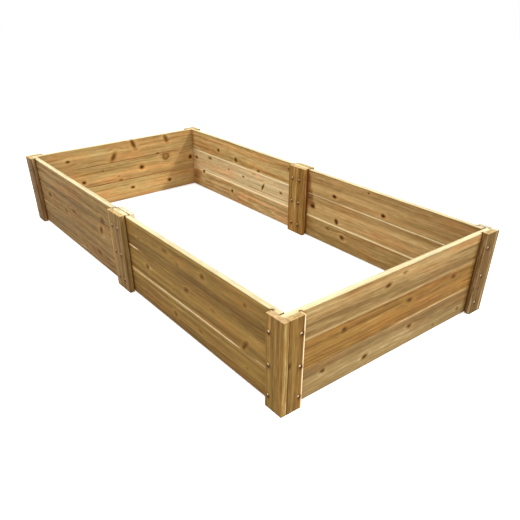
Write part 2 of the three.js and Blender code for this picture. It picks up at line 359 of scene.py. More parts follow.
def makeGrainGroup():
    tree, start, end = newGroup(
        "cedarGrain",
        ["Along", "Across", "Depth", "Seed", "Pith Across", "Pith Depth", "Early", "Late", "Cream",
         "Cream Colour", *carriedByKnots, "Knot Dark", "Contrast", "Light", "Red"],
        ["Colour", "Roughness", "Height"],
    )
    along, depth, seed = start["Along"], start["Depth"], start["Seed"]

    # the rings round the pith, bent by the knots
    pulled = minus(tree, start["Across"], start["Pull"])
    sway = minus(tree, grainNoise(tree, along, pulled, depth, seed, *grain["sway"]), 0.5)
    height = timesPlus(tree, sway, grain["swayHeight"], pulled)
    ragged = grainNoise(tree, along, height, depth, seed, *grain["ragged"])
    ragged = minus(tree, ragged, 0.5)
    rounded = distance(
        tree,
        minus(tree, height, start["Pith Across"]),
        minus(tree, depth, start["Pith Depth"]),
    )
    rounded = timesPlus(tree, ragged, grain["raggedHeight"], rounded)
    count = calc("DIVIDE", tree, rounded, grain["ringGap"])
    year = tree.nodes.new("ShaderNodeTexWhiteNoise")
    year.noise_dimensions = "1D"
    tree.links.new(plus(tree, calc("FLOOR", tree, count), seed), year.inputs["W"])
    spread = grain["ringVariety"]
    variety = timesPlus(tree, year.outputs["Value"], spread, 1 - spread)
    late = calc("POWER", tree, calc("FRACT", tree, count), grain["ringSharpness"])
    late = times(tree, late, variety)

    bands = tree.nodes.new("ShaderNodeTexNoise")
    bands.noise_dimensions = "1D"
    bands.inputs["Scale"].default_value = 1 / grain["bandHeight"]
    bands.inputs["Detail"].default_value = 2
    tree.links.new(plus(tree, rounded, seed), bands.inputs["W"])
    figureSeed = plus(tree, seed, 77.0)
    streaks = grainNoise(tree, along, height, depth, seed, *grain["streaks"])
    figure = grainNoise(tree, along, height, depth, figureSeed, *grain["figure"])
    fine = grainNoise(tree, along, height, depth, seed, *grain["fine"])
    fibre = grainNoise(tree, along, height, depth, seed, *grain["fibre"])

    tone = 0.0
    for pattern, contrast in (
        (bands.outputs[0], grain["bandContrast"]),
        (streaks, grain["streakContrast"]),
        (figure, grain["figureContrast"]),
        (fine, grain["fineContrast"]),
        (fibre, grain["fibreContrast"]),
    ):
        tone = timesPlus(tree, minus(tree, pattern, 0.5), contrast, tone)
    tone = timesPlus(tree, late, -grain["ringDarkness"], tone)
    tone = timesPlus(tree, tone, start["Contrast"], grain["middleTone"])
    light = timesPlus(tree, start["Halo"], knotLook["haloLight"], start["Light"])
    tone = plus(tree, tone, light)
    wood = paint(tree, clamped(tree, tone), start["Late"], start["Early"])
    deep = clamped(tree, tone, -grain["deepening"])
    wood = paint(tree, deep, wood, grain["deepTint"], "MULTIPLY")
    beyond = calc("MAXIMUM", tree, minus(tree, tone, 1.0), 0.0)
    wood = paint(tree, clamped(tree, beyond, grain["brightening"]), wood, grain["brightWood"])

    # slow drifts towards pink and towards green, as cedar has
    driftSeed = plus(tree, seed, 31.0)
    drift = grainNoise(tree, along, height, depth, driftSeed, *grain["drift"])
    drift = times(tree, minus(tree, drift, 0.5), grain["driftContrast"])
    red = plus(tree, drift, start["Red"])
    wood = paint(tree, clamped(tree, red), wood, grain["redTint"], "MULTIPLY")
    wood = paint(tree, clamped(tree, red, -1.0), wood, grain["greenTint"], "MULTIPLY")

    # knots, with fine rings and a darker eye
    stain = clamped(tree, start["Stain"], knotLook["stainStrength"])
    wood = paint(tree, stain, wood, knotLook["stainTint"], "MULTIPLY")
    wave = calc("SINE", tree, times(tree, start["Rings"], knotLook["ringPace"]))
    circles = timesPlus(tree, wave, knotLook["ringContrast"], 0.5)
    eye = fade(tree, start["Rings"], *knotLook["eye"], 0.0, knotLook["eyeDarkness"])
    circles = plus(tree, circles, eye)
    circles = plus(tree, circles, start["Knot Dark"], clamp=True)
    knot = paint(tree, circles, knotLook["brown"], knotLook["heart"])
    wood = paint(tree, clamped(tree, start["Core"]), wood, knot)

    # faces that look up are paler: partly the pale planed and sawn tops, partly painted light from
    # above, which also puts a painted highlight on the upward chamfers at the joints
    facing = tree.nodes.new("ShaderNodeSeparateXYZ")
    tree.links.new(tree.nodes.new("ShaderNodeNewGeometry").outputs["Normal"], facing.inputs[0])
    upwardPaleAndLit = fade(tree, facing.outputs[2], *grain["lookingUp"])
    upwardPaleAndLit = times(tree, upwardPaleAndLit, start["Cream"])
    upwardPaleAndLit = times(tree, upwardPaleAndLit, minus(tree, 1.0, start["Core"], clamp=True))
    showing = minus(tree, tone, 0.5)
    showing = timesPlus(tree, showing, -grain["creamContrast"], grain["creamWood"], clamp=True)
    wood = paint(tree, upwardPaleAndLit, wood, paint(tree, showing, start["Cream Colour"], wood))

    relief = timesPlus(tree, late, 0.35, times(tree, fibre, 0.5))
    relief = timesPlus(tree, fine, 0.5, relief)
    relief = timesPlus(tree, start["Core"], 0.35, relief)
    dull = timesPlus(tree, fibre, 0.16, grain["roughness"])
    dull = timesPlus(tree, late, -0.12, dull)
    tree.links.new(wood, end["Colour"])
    tree.links.new(dull, end["Roughness"])
    tree.links.new(relief, end["Height"])
    return tree


knotGroup = makeKnotGroup()
streakGroup = makeStreakGroup()
grainGroup = makeGrainGroup()
print("cedar groups made")

# linear colours of the wood between the rings and of the rings themselves
tones = {
    "olive": ((0.35, 0.205, 0.048), (0.15, 0.078, 0.015)),
    "drab": ((0.345, 0.212, 0.074), (0.155, 0.085, 0.023)),
    "straw": ((0.48, 0.322, 0.128), (0.25, 0.147, 0.047)),
    "honey": ((0.42, 0.23, 0.054), (0.195, 0.093, 0.017)),
    "sand": ((0.65, 0.455, 0.184), (0.32, 0.19, 0.059)),
    "blush": ((0.7, 0.53, 0.279), (0.39, 0.27, 0.121)),
    "wheat": ((0.672, 0.486, 0.228), (0.35, 0.22, 0.082)),
    "russet": ((0.6, 0.385, 0.149), (0.29, 0.16, 0.05)),
}

# the colours of the faces that look up: planed edges, and sawn ends that are tan, pinkish or nearly
# white, each also made paler as painted light from above
upwardColoursWithLight = {
    "edge": (0.85, 0.76, 0.46),
    "sawn": (0.7, 0.5, 0.22),
    "pinkish": (0.7, 0.48, 0.24),
    "bleached": (0.88, 0.82, 0.64),
}

# which of a piece's axes run along the grain, across it, and into the board
axisOrder = {
    "wallAlongX": ("X", "Z", "Y"),
    "wallAlongY": ("Y", "Z", "X"),
    "postFacingY": ("Z", "X", "Y"),
    "postFacingX": ("Z", "Y", "X"),
}

# the painted shade on a wall where a post stands against it: half width and darkness of its lines,
# how deep it reaches into the wall, and how red it is
seam = {"lines": ((0.007, 2.4), (0.018, 0.45)), "reach": 0.009, "redness": 0.9}


def cedar(name, order, board):
    # the cedar of one board, laid along its own grain, with its knots, its streaks, some of them
    # painted highlights and shadows, and the painted shade beside the posts
    material = bpy.data.materials.new(name)
    material.use_nodes = True
    tree = material.node_tree
    shader = tree.nodes["Principled BSDF"]
    place = tree.nodes.new("ShaderNodeTexCoord")
    axes = tree.nodes.new("ShaderNodeSeparateXYZ")
    tree.links.new(place.outputs["Object"], axes.inputs[0])
    along, across, depth = (axes.outputs[letter] for letter in axisOrder[order])

    # the outline of a knot wanders a little
    wander = tree.nodes.new("ShaderNodeTexNoise")
    wander.inputs["Scale"].default_value = knotLook["wanderScale"]
    wander.inputs["Detail"].default_value = 1
    tree.links.new(place.outputs["Object"], wander.inputs["Vector"])
    shift = timesPlus(tree, wander.outputs[0], knotLook["wander"], -knotLook["wander"] / 2)
    nearAlong = plus(tree, along, shift)
    nearAcross = minus(tree, across, shift)

    carried = {label: 0.0 for label in carriedByKnots}
    carried["Rings"] = knotLook["far"]
    for alongPlace, acrossPlace, halfLength, halfHeight, lean, strength, *more in board["knots"]:
        heart, bend = (*more, *(0.0, 1.0)[len(more):])
        outputs = addGroup(tree, knotGroup, {
            "Along": nearAlong, "Across": nearAcross,
            "Place Along": alongPlace, "Place Across": acrossPlace,
            "Half Length": halfLength, "Half Height": halfHeight,
            "Lean": lean, "Strength": strength, "Heart": heart, "Bend": bend, **carried,
        })
        carried = {label: outputs[label] for label in carried}

    tint = {"Light": 0.0, "Red": board.get("red", 0.0)}
    for acrossPlace, halfHeight, begin, finish, paler, redder, *soft in board["streaks"]:
        outputs = addGroup(tree, streakGroup, {
            "Along": along, "Across": across, "Place": acrossPlace, "Half Height": halfHeight,
            "From": begin, "To": finish, "Soft": soft[0] if soft else 0.05,
            "Paler": paler, "Redder": redder, **tint,
        })
        tint = {label: outputs[label] for label in tint}

    # painted shade on the wall beside each post: a narrow dark line and a wider soft one, a little
    # red
    for shadePlace, shadeDepth in board.get("seams", ()):
        near = bell(tree, minus(tree, depth, shadeDepth), seam["reach"])
        fromShade = minus(tree, along, shadePlace)
        for halfWidth, darkness in seam["lines"]:
            line = times(tree, near, bell(tree, fromShade, halfWidth))
            tint["Light"] = timesPlus(tree, line, -darkness, tint["Light"])
        tint["Red"] = timesPlus(tree, line, seam["redness"], tint["Red"])

    shade = board["shade"]
    early, late = ((*(shade * part for part in colour), 1) for colour in tones[board["tone"]])
    outputs = addGroup(tree, grainGroup, {
        "Along": along, "Across": across, "Depth": depth, "Seed": board["seed"],
        "Pith Across": board["pith"][0], "Pith Depth": board["pith"][1],
        "Early": early, "Late": late, "Contrast": board["contrast"],
        "Knot Dark": board.get("knotDark", 0.0), "Cream": board.get("cream", 0.9),
        "Cream Colour": (*upwardColoursWithLight[board.get("creamTone", "edge")], 1), **carried, **tint,
    })
    tree.links.new(outputs["Colour"], shader.inputs["Base Color"])
    tree.links.new(outputs["Roughness"], shader.inputs["Roughness"])
    bump = tree.nodes.new("ShaderNodeBump")
    bump.inputs["Distance"].default_value = grain["bumpHeight"]
    bump.inputs["Strength"].default_value = grain["bumpStrength"]
    tree.links.new(outputs["Height"], bump.inputs["Height"])
    tree.links.new(bump.outputs[0], shader.inputs["Normal"])
    shader.inputs["Specular IOR Level"].default_value = grain["specular"]
    return material


# A knot is (along, across, half length, half height, lean, strength). It may end in how hollow its
# heart is, 0 to 1, and then in how much it bends the grain, which is 1 if nothing is said.
# A streak is (across, half height, from, to, paler, redder), and may end in how soft its ends are.
# Places and lengths are in metres on the bed, along and across the grain of the board.

# How pale each board's upward faces turn is set per board; on the lower boards these faces are the
# chamfers at the joints above them, and their paleness there is a painted highlight.
walls = {
    "front_right": {"order": "wallAlongX", "contrast": 0.85, "courses": {
        "bottom": {
            "tone": "olive", "seed": 2.1, "pith": (0.03, -0.5), "shade": 0.93, "cream": 0.2,
            "knots": [
                (0.47, 0.065, 0.012, 0.012, 0.2, 0.7), (0.672, 0.075, 0.016, 0.006, 0.6, 0.55),
                (0.99, 0.074, 0.009, 0.007, 0.0, 0.35)],
            "streaks": [
                (0.1, 0.03, 0.4, 0.62, 0.1, -0.4), (0.07, 0.03, 0.9, 1.08, 0.18, -0.5),
                (0.035, 0.02, 0.06, 0.35, -0.08, 0.2)],
        },
        "middle": {
            "tone": "olive", "seed": 5.7, "pith": (0.21, -0.64), "shade": 0.93, "cream": 0.05,
            "knots": [
                (0.243, 0.208, 0.013, 0.011, 0.0, 0.95), (0.577, 0.23, 0.014, 0.01, -0.5, 0.85),
                (0.77, 0.222, 0.016, 0.005, 0.0, 0.5), (0.976, 0.168, 0.009, 0.019, -0.6, 0.95),
                (0.47, 0.188, 0.007, 0.005, 0.0, 0.45)],
            "streaks": [
                # the pale bands at 0.1405 and the short pale line at 0.262 are painted highlights
                # on the chamfers at the joints
                (0.1405, 0.0072, 0.0, 0.955, 1.1, 0.35, 0.03),
                (0.1405, 0.0072, 1.03, 1.12, 0.75, 0.35, 0.03), (0.25, 0.02, 0.06, 0.3, -0.12, 0.0),
                (0.2, 0.012, 0.05, 0.22, -0.1, 0.2), (0.262, 0.003, 0.0, 0.16, 1.3, 0.2, 0.02),
                (0.157, 0.004, 0.05, 0.55, -0.35, 0.1)],
        },
        "top": {
            "tone": "olive", "seed": 9.3, "pith": (0.3, -0.47), "shade": 0.85,
            "knots": [
                (0.183, 0.325, 0.012, 0.006, 0.3, 0.5), (0.418, 0.35, 0.02, 0.009, 0.0, 0.6),
                (0.705, 0.345, 0.012, 0.01, 0.0, 0.85), (0.98, 0.345, 0.009, 0.008, 0.0, 0.6),
                (0.516, 0.32, 0.012, 0.01, 0.0, 0.3)],
            "streaks": [
                (0.325, 0.02, 0.2, 0.56, 0.16, -0.1), (0.36, 0.025, 0.0, 0.13, -0.02, 0.7),
                (0.285, 0.016, 0.45, 1.1, -0.16, 0.3), (0.285, 0.01, 0.38, 0.5, 0.1, 0.0),
                (0.268, 0.003, 0.0, 0.16, -0.6, 0.0, 0.02)],
        },
    }},
    "front_left": {"order": "wallAlongX", "contrast": 1.15, "courses": {
        "bottom": {
            "tone": "drab", "seed": 12.4, "pith": (0.05, -0.48), "shade": 0.9, "cream": 0.1,
            "knots": [
                (-0.32, 0.075, 0.02, 0.012, 0.5, 0.8), (-0.22, 0.07, 0.03, 0.006, 0.0, 0.35),
                (-0.49, 0.052, 0.012, 0.007, 0.0, 0.4)],
            "streaks": [
                (0.065, 0.015, -0.75, -0.12, 0.05, 0.6), (0.09, 0.03, -1.1, -0.8, 0.0, -0.4),
                (0.085, 0.006, -0.62, -0.12, 0.25, 0.3)],
        },
        "middle": {
            "tone": "drab", "seed": 15.8, "pith": (0.2, -0.65), "shade": 0.99, "cream": 0.1,
            "knots": [
                (-0.975, 0.216, 0.02, 0.014, -0.5, 1.0), (-0.905, 0.232, 0.014, 0.007, 0.0, 0.4),
                (-0.73, 0.186, 0.018, 0.011, 0.4, 0.75), (-0.605, 0.218, 0.024, 0.008, 0.0, 0.9),
                (-0.553, 0.24, 0.01, 0.005, 0.0, 0.6), (-0.245, 0.226, 0.015, 0.021, -0.2, 1.0)],
            "streaks": [
                (0.19, 0.02, -0.26, -0.12, 0.5, -0.4), (0.245, 0.012, -0.5, -0.1, 0.15, 0.3),
                (0.17, 0.02, -1.0, -0.75, -0.02, 0.5), (0.2605, 0.003, -1.1, -0.1, -0.45, 0.0)],
        },
        "top": {
            "tone": "drab", "seed": 19.2, "pith": (0.31, -0.5), "shade": 0.93,
            "knots": [
                (-0.213, 0.285, 0.019, 0.015, 0.0, 1.0), (-1.14, 0.355, 0.012, 0.014, 0.0, 0.6)],
            "streaks": [
                (0.35, 0.01, -1.02, -0.9, 0.05, 0.9), (0.342, 0.01, -0.74, -0.45, 0.0, 0.9),
                (0.385, 0.01, -1.1, -0.5, 0.2, -0.5), (0.31, 0.02, -1.05, -0.65, 0.15, 0.3),
                (0.37, 0.005, -1.05, -0.6, -0.4, 0.4), (0.271, 0.004, -0.95, -0.1, -0.5, 0.1)],
        },
    }},
    "right_end": {"order": "wallAlongY", "contrast": 1.1, "courses": {
        "bottom": {
            "tone": "straw", "seed": 23.5, "pith": (0.06, 1.03), "shade": 0.73, "cream": 0.25,
            "knots": [
                (-0.391, 0.095, 0.011, 0.008, 0.0, 1.0), (-0.157, 0.053, 0.014, 0.01, -0.3, 1.0),
                (0.107, 0.092, 0.014, 0.009, 0.2, 0.95), (0.283, 0.028, 0.009, 0.007, 0.0, 0.5),
                (0.455, 0.047, 0.01, 0.01, 0.3, 0.5)],
            "streaks": [
                (0.07, 0.024, -0.5, 0.12, 0.42, -0.2), (0.045, 0.018, -0.5, 0.5, 0.22, -0.3),
                (0.12, 0.014, -0.5, 0.5, -0.35, 0.7), (0.1, 0.03, 0.1, 0.5, -0.15, 0.5),
                (0.014, 0.008, -0.5, 0.5, 0.1, -0.6)],
        },
        "middle": {
            "tone": "honey", "seed": 27.9, "pith": (0.2, 1.08), "shade": 0.89, "cream": 0.25,
            "knots": [
                (-0.293, 0.236, 0.011, 0.008, 0.0, 1.0), (0.078, 0.227, 0.015, 0.009, 0.5, 1.0),
                (0.367, 0.24, 0.015, 0.009, 0.3, 0.9), (-0.37, 0.24, 0.01, 0.004, 0.0, 0.2)],
            "streaks": [
                (0.215, 0.012, -0.24, 0.0, 0.35, 0.1), (0.168, 0.018, -0.46, -0.15, -0.2, 0.0),
                (0.18, 0.03, 0.15, 0.5, 0.06, 0.6), (0.256, 0.012, 0.05, 0.5, -0.12, 0.6),
                # the pale line at 0.1395 is a painted highlight on the chamfer at the joint
                (0.1395, 0.003, 0.0, 0.5, 0.8, 0.3), (0.24, 0.015, -0.48, -0.3, 0.14, -0.2),
                (0.259, 0.003, -0.5, 0.1, -0.3, 0.2)],
        },
        "top": {
            "tone": "straw", "seed": 31.1, "pith": (0.3, 1.02), "shade": 0.94,
            "knots": [
                (-0.07, 0.342, 0.014, 0.008, -0.5, 1.0), (0.02, 0.368, 0.014, 0.006, 0.0, 0.6)],
            "streaks": [
                (0.31, 0.025, -0.48, -0.05, 0.15, -0.2), (0.375, 0.01, 0.3, 0.45, 0.0, 0.9),
                (0.35, 0.006, 0.34, 0.52, -0.7, 0.5), (0.38, 0.012, -0.3, 0.5, -0.22, 0.4),
                # the pale line at 0.27 is a painted highlight on the chamfer at the joint
                (0.27, 0.0035, -0.5, 0.15, 0.8, 0.6), (0.32, 0.02, 0.05, 0.5, 0.1, -0.1)],
        },
    }},
    "back_right": {"order": "wallAlongX", "contrast": 0.95, "knotDark": 0.45, "courses": {
        "bottom": {
            "tone": "sand", "seed": 36.6, "pith": (0.05, 0.99), "shade": 0.96, "cream": 1.0,
            "knots": [(0.365, 0.082, 0.014, 0.01, 0.2, 0.9), (0.25, 0.1, 0.014, 0.008, 0.0, 0.4)],
            "streaks": [
                # the dark red patch from 0.05 to 0.12 is a painted shadow of the middle post, and
                # the pale line at 0.1315 a painted highlight on the chamfer at the joint
                (0.09, 0.05, 0.05, 0.12, -0.4, 0.4), (0.05, 0.02, 0.2, 0.6, 0.1, 0.4),
                (0.1315, 0.0035, 0.05, 1.17, 1.6, -0.2), (0.121, 0.004, 0.1, 1.17, -0.3, 0.3)],
        },
        "middle": {
            "tone": "russet", "seed": 40.3, "pith": (0.19, 1.06), "shade": 0.92, "cream": 1.0,
            "knots": [
                (0.12, 0.196, 0.018, 0.012, 0.0, 1.0), (0.314, 0.16, 0.013, 0.015, 0.2, 0.95)],
            "streaks": [
                # the dark red patches from 0 to about 0.13 are a painted shadow of the middle post,
                # and the pale lines at 0.2625 and 0.139 painted highlights on the chamfers at the
                # joints
                (0.207, 0.01, 0.14, 1.1, 0.25, 0.0), (0.245, 0.02, 0.0, 0.118, -1.0, 0.9, 0.01),
                (0.21, 0.018, 0.0, 0.135, -0.85, 0.9, 0.01), (0.185, 0.012, 0.15, 0.35, 0.2, -0.3),
                (0.17, 0.02, 0.5, 0.95, 0.1, 0.1), (0.2625, 0.003, 0.35, 1.17, 1.2, -0.2),
                (0.139, 0.003, 0.05, 1.17, 0.5, -0.2)],
        },
        "top": {
            "tone": "russet", "seed": 44.7, "pith": (0.3, 1.01), "shade": 0.96,
            "knots": [
                (0.285, 0.296, 0.014, 0.009, 0.0, 1.0), (0.632, 0.29, 0.013, 0.01, 0.0, 1.0),
                (0.522, 0.379, 0.008, 0.005, 0.0, 0.6)],
            "streaks": [
                # the dark red patches from 0 to about 0.11 are a painted shadow of the middle post,
                # and the dark line at 0.3915 painted shade under the top edge
                (0.295, 0.008, 0.2, 1.1, -0.15, 0.4), (0.35, 0.022, 0.0, 0.088, -0.75, 0.8, 0.008),
                (0.31, 0.022, 0.0, 0.098, -0.85, 0.8, 0.008),
                (0.275, 0.016, 0.0, 0.11, -0.85, 0.8, 0.008), (0.35, 0.02, 0.4, 1.0, 0.12, -0.3),
                (0.3915, 0.003, 0.0, 1.3, -0.4, 0.0)],
        },
    }},
    "back_left": {"order": "wallAlongX", "contrast": 1.1, "red": 0.2, "courses": {
        "bottom": {
            "tone": "wheat", "seed": 49.5, "pith": (0.05, 1.0), "shade": 1.1, "cream": 1.0,
            "knots": [
                (-1.026, 0.129, 0.013, 0.014, 0.0, 1.0), (-0.68, 0.073, 0.011, 0.012, 0.0, 1.0)],
            "streaks": [
                (0.101, 0.005, -0.95, -0.1, -0.45, 0.3), (0.117, 0.004, -0.8, -0.1, -0.25, 0.3),
                (0.075, 0.02, -0.6, -0.15, 0.1, 0.7), (0.07, 0.03, -1.1, -0.75, 0.05, -0.2),
                # the pale line at 0.13 is a painted highlight on the chamfer at the joint, and the
                # dark red patch at the left end a painted shadow of the left end wall
                (0.13, 0.0035, -1.05, -0.06, 1.9, -0.1), (0.07, 0.08, -1.3, -1.085, -0.75, 1.0)],
        },
        "middle": {
            "tone": "blush", "seed": 53.2, "pith": (0.2, 1.07), "shade": 0.97, "cream": 1.0,
            "knots": [
                (-1.115, 0.21, 0.014, 0.01, 0.0, 0.9), (-0.94, 0.24, 0.022, 0.01, -0.5, 0.7),
                (-0.715, 0.214, 0.013, 0.006, 0.0, 0.5), (-0.55, 0.203, 0.013, 0.007, 0.3, 0.85),
                (-0.343, 0.186, 0.008, 0.023, -0.5, 0.95), (-0.167, 0.195, 0.012, 0.007, 0.2, 0.95),
                (-0.435, 0.246, 0.02, 0.004, 0.0, 0.35)],
            "streaks": [
                # the pale lines at 0.145 and 0.262 are painted highlights on the chamfers at the
                # joints, and the dark red patch at the left end a painted shadow of the left end
                # wall
                (0.145, 0.004, -1.05, -0.1, 0.9, -0.1), (0.155, 0.003, -0.5, -0.1, -0.35, 0.2),
                (0.2, 0.09, -1.3, -1.125, -0.65, 1.0), (0.262, 0.0032, -1.1, -0.06, 1.9, 0.0),
                (0.255, 0.0025, -0.9, -0.06, -0.3, 0.3)],
        },
        "top": {
            "tone": "sand", "seed": 57.8, "pith": (0.31, 1.02), "shade": 1.03,
            "knots": [
                (-0.832, 0.318, 0.014, 0.01, 0.0, 1.0), (-0.63, 0.296, 0.014, 0.013, 0.0, 1.0),
                (-0.102, 0.357, 0.008, 0.007, 0.0, 0.8), (-0.39, 0.276, 0.014, 0.006, 0.0, 0.8)],
            "streaks": [
                (0.3, 0.022, -1.1, -0.55, -0.38, 0.0), (0.29, 0.012, -0.6, -0.1, -0.2, 0.3),
                (0.365, 0.012, -0.8, -0.3, 0.15, 0.5), (0.345, 0.012, -1.1, -0.9, 0.2, -0.2),
                # the pale line at 0.27 is a painted highlight on the chamfer at the joint, the dark
                # line at 0.3915 painted shade under the top edge, and the dark patch at the left
                # end a painted shadow of the left end wall
                (0.27, 0.003, -1.1, -0.06, 0.6, 0.0), (0.3915, 0.003, -1.3, 0.0, -0.5, 0.0),
                (0.33, 0.08, -1.3, -1.145, -0.8, 0.8, 0.02)],
        },
    }},
    "left_end": {"order": "wallAlongY", "contrast": 0.85, "red": 0.45, "courses": {
        "bottom": {
            "tone": "sand", "seed": 62.3, "pith": (0.05, -0.8), "shade": 0.94, "cream": 0.3,
            "knots": [
                (0.348, 0.072, 0.014, 0.01, 0.0, 1.0), (0.052, 0.077, 0.014, 0.009, 0.0, 1.0)],
            "streaks": [(0.06, 0.02, -0.2, 0.35, 0.1, 0.5), (0.115, 0.012, -0.3, 0.3, 0.08, -0.5)],
        },
        "middle": {
            "tone": "sand", "seed": 66.9, "pith": (0.2, -0.72), "shade": 0.94, "cream": 0.3,
            "knots": [
                (0.334, 0.247, 0.026, 0.028, 0.0, 0.85, 0.75),
                (0.137, 0.203, 0.017, 0.013, 0.0, 1.0), (0.535, 0.205, 0.014, 0.014, 0.0, 1.0),
                (-0.15, 0.228, 0.01, 0.004, 0.0, 0.7), (-0.29, 0.178, 0.014, 0.011, 0.0, 1.0),
                (-0.03, 0.146, 0.013, 0.005, 0.0, 0.8), (-0.04, 0.174, 0.01, 0.005, 0.0, 0.4)],
            "streaks": [
                (0.178, 0.012, 0.05, 0.4, 0.12, 0.7), (0.25, 0.012, -0.3, 0.2, -0.15, -0.3),
                (0.17, 0.01, -0.25, -0.05, 0.3, 0.2), (0.226, 0.005, -0.3, 0.1, -0.4, 0.2),
                (0.1385, 0.003, -0.25, 0.38, -0.9, 0.2), (0.26, 0.003, -0.3, 0.42, -0.3, 0.2)],
        },
        "top": {
            "tone": "sand", "seed": 71.4, "pith": (0.31, -0.78), "shade": 0.92,
            "knots": [
                (0.345, 0.365, 0.014, 0.026, 0.3, 0.7), (0.092, 0.368, 0.014, 0.034, 0.35, 0.8),
                (-0.06, 0.306, 0.017, 0.026, -0.5, 0.8), (-0.375, 0.329, 0.013, 0.008, 0.0, 1.0),
                (0.27, 0.276, 0.012, 0.005, 0.0, 0.7)],
            "streaks": [
                (0.34, 0.006, -0.5, 0.45, 0.3, 0.0), (0.375, 0.01, -0.2, 0.3, -0.2, 0.2),
                (0.31, 0.012, -0.1, 0.1, 0.05, 0.7), (0.35, 0.02, -0.2, -0.1, 0.15, -0.7),
                (0.271, 0.003, -0.35, 0.44, -0.9, 0.2), (0.352, 0.008, -0.42, -0.1, 0.45, -0.3)],
        },
    }},
}


def seamsOf(wall, order):
    # where each post ends along the wall, and how deep the face of the wall behind it lies: the
    # places of the painted shade beside the posts
    axis, depth = "xy" if order == "wallAlongX" else "yx"
    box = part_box(wall + "_board_middle")
    middle = sum(getattr(corner, axis) for corner in box) / 2
    faces = sorted((getattr(corner, depth) for corner in box), key=abs)  # the inner, then the outer
    side = wall.split("_")[0]
    if order == "wallAlongX":
        posts = {f"{wall}_side_board": 1, f"{side}_mid_post_outer": 1, f"{side}_mid_post_inner": 0}
    else:
        posts = {f"front_{side}_end_board": 1, f"back_{side}_end_board": 1}
    seams = []
    for post, face in posts.items():
        edges = [getattr(corner, axis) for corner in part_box(post)]
        seams.append((min(edges, key=lambda place: abs(place - middle)), faces[face]))
    return seams


# darker towards the foot of every wall
darkerFoot = (0.004, 0.006, -2.0, 2.0, -0.5, 0.0)  # a streak along the foot of every wall

for wall, details in walls.items():
    shared = {label: value for label, value in details.items() if label != "courses"}
    shared["seams"] = seamsOf(wall, details["order"])
    for course, board in details["courses"].items():
        name = f"{wall}_board_{course}"
        board = {**board, **shared}
        if course == "bottom":
            board["streaks"] = [*board["streaks"], darkerFoot]
        material = cedar("cedar_" + name, details["order"], board)
        nodes[name].data.materials.clear()
        nodes[name].data.materials.append(material)
print("walls dressed")

screwSizes = {
    "headRadius": 0.0045,
    "headRim": 0.0008,
    "headHeight": 0.0036,
    "headEase": 0.0004,
    "headSink": 0.0011,
    # under the head the neck narrows to the shank: how far out of it, how far below the head
    "neck": ((0.0008, -0.0006), (0.0001, 0.0008), (0.0, 0.002)),
    "recess": (0.005, 0.00105, 0.0046),
    "recessTaper": (0.34, 0.72, 1),
    "mouthRadius": 0.0062,
    "mouthRise": 0.0022,
    "mouthEase": (0.45, 0.8),
    "crestRadius": 0.0021,
    "rootRadius": 0.00155,
    "pointLength": 0.006,
    "pointBlunt": 0.0003,
    "threadPitch": 0.0024,
    "threadStart": 0.016,
    "threadHalf": 0.22,  # as a part of the pitch
    "threadSink": 0.0004,
    "stepsPerTurn": 14,
    "clearance": 0.00025,
    "segments": 28,
    "holeSegments": 30,
    "lengths": {"corner": 0.052, "outer": 0.0333, "inner": 0.0346},
}


def spun(profile, segments):
    # a closed solid of revolution about Z from (radius, depth) points; the depth runs down
    shape = bmesh.new()
    rim = [shape.verts.new((radius, 0, -depth)) for radius, depth in profile]
    edges = [shape.edges.new(pair) for pair in zip(rim, rim[1:])]
    bmesh.ops.spin(
        shape, geom=rim + edges, cent=(0, 0, 0), axis=(0, 0, 1), angle=math.tau,
        steps=segments, use_merge=True, use_duplicate=False,
    )
    bmesh.ops.remove_doubles(shape, verts=shape.verts, dist=1e-6)
    bmesh.ops.recalc_face_normals(shape, faces=shape.faces)
    return shape


def asMesh(shape, name):
    mesh = bpy.data.meshes.new(name)
    shape.to_mesh(mesh)
    shape.free()
    return mesh


def newPiece(name, mesh, material):
    piece = bpy.data.objects.new(name, mesh)
    bpy.context.scene.collection.objects.link(piece)
    mesh.materials.clear()
    mesh.materials.append(material)
    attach(piece, "root")
    return piece


def boolean(mesh, cutter, operation):
    # the mesh after one boolean with another
    first = bpy.data.objects.new("first", mesh)
    second = bpy.data.objects.new("second", cutter)
    for thing in (first, second):
        bpy.context.scene.collection.objects.link(thing)
    modifier = first.modifiers.new("boolean", "BOOLEAN")
    modifier.operation = operation
    modifier.solver = "EXACT"
    modifier.object = second
    ready = first.evaluated_get(bpy.context.evaluated_depsgraph_get())
    result = bpy.data.meshes.new_from_object(ready)
    for thing in (first, second):
        bpy.data.objects.remove(thing)
    return result


steelLook = {
    "pale": (0.9, 0.76, 0.53),
    "dark": (0.32, 0.24, 0.13),
    "spangleScale": 900,
    "spangle": 0.5,
    "cloudScale": 600,
    "cloud": 0.6,
    "roughness": 0.24,
    "roughnessSpread": 0.25,
}


def steel():
    material = bpy.data.materials.new("screwSteel")
    material.use_nodes = True
    tree = material.node_tree
    shader = tree.nodes["Principled BSDF"]
    place = tree.nodes.new("ShaderNodeTexCoord")
    spangle = tree.nodes.new("ShaderNodeTexVoronoi")
    spangle.inputs["Scale"].default_value = steelLook["spangleScale"]
    cloud = tree.nodes.new("ShaderNodeTexNoise")
    cloud.inputs["Scale"].default_value = steelLook["cloudScale"]
    for texture in (spangle, cloud):
        tree.links.new(place.outputs["Object"], texture.inputs["Vector"])
    mottle = times(tree, spangle.outputs["Distance"], steelLook["spangle"])
    mottle = timesPlus(tree, cloud.outputs[0], steelLook["cloud"], mottle)
    colour = paint(tree, mottle, steelLook["pale"], steelLook["dark"])
    dull = timesPlus(tree, mottle, steelLook["roughnessSpread"], steelLook["roughness"])
    tree.links.new(colour, shader.inputs["Base Color"])
    tree.links.new(dull, shader.inputs["Roughness"])
    shader.inputs["Metallic"].default_value = 1.0
    return material


